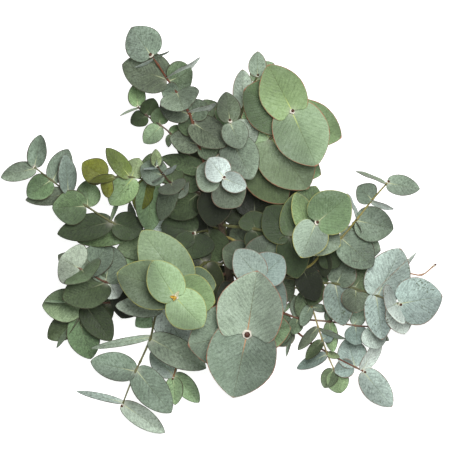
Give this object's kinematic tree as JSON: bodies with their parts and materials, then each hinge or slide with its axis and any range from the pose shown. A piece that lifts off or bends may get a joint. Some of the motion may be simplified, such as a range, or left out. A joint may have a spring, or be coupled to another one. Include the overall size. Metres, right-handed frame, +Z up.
{
  "type": "eucalyptus branch",
  "caption": "Bushy cut eucalyptus branch lying on its woody stem: thin spreading twigs with opposite, stalkless, round to heart-shaped leaves with a waxy grey-green bloom.",
  "frame": {"origin": "on the surface that the branch lies on, under the middle of its bounding box", "axes": "+Z up, away from the surface; +Y along the branch from the cut end of its woody stem towards the crown; +X to the right as seen from above"},
  "size_m": [0.4436, 0.4084, 0.1535],
  "materials": {
    "leaf_grey_green": "matte",
    "leaf_dark_green": "matte",
    "leaf_light_green": "matte",
    "leaf_young_green": "matte",
    "leaf_pale_blue": "matte",
    "leaf_whitish": "matte",
    "leaf_olive": "matte",
    "leaf_blue_green": "matte",
    "bark": "matte"
  },
  "bodies": {
    "root": {"main_stem": "bark", "crown_tip": "leaf_whitish", "northeast_leader": "leaf_light_green", "south_big": "leaf_grey_green", "southwest_bright": "leaf_young_green", "north_pair": "leaf_grey_green", "east_centre": "leaf_light_green", "south_pale_pair": "leaf_pale_blue", "northwest_leader": "leaf_grey_green", "northwest_centre": "leaf_grey_green", "olive_west": "leaf_olive", "north_pale": "leaf_pale_blue", "northwest_small": "leaf_dark_green", "east_long": "leaf_grey_green", "far_east_pale": "leaf_pale_blue", "far_east_thin": "bark", "west_long": "leaf_blue_green", "west_southwest": "leaf_grey_green", "southwest_long": "leaf_grey_green", "southeast_brown": "leaf_blue_green", "southeast_thin": "leaf_blue_green", "southeast_low": "leaf_pale_blue", "west_low_green": "leaf_dark_green", "south_small": "leaf_blue_green", "inner_west": "leaf_dark_green", "inner_east": "leaf_dark_green", "under_north": "leaf_dark_green"}
  },
  "joints": []
}
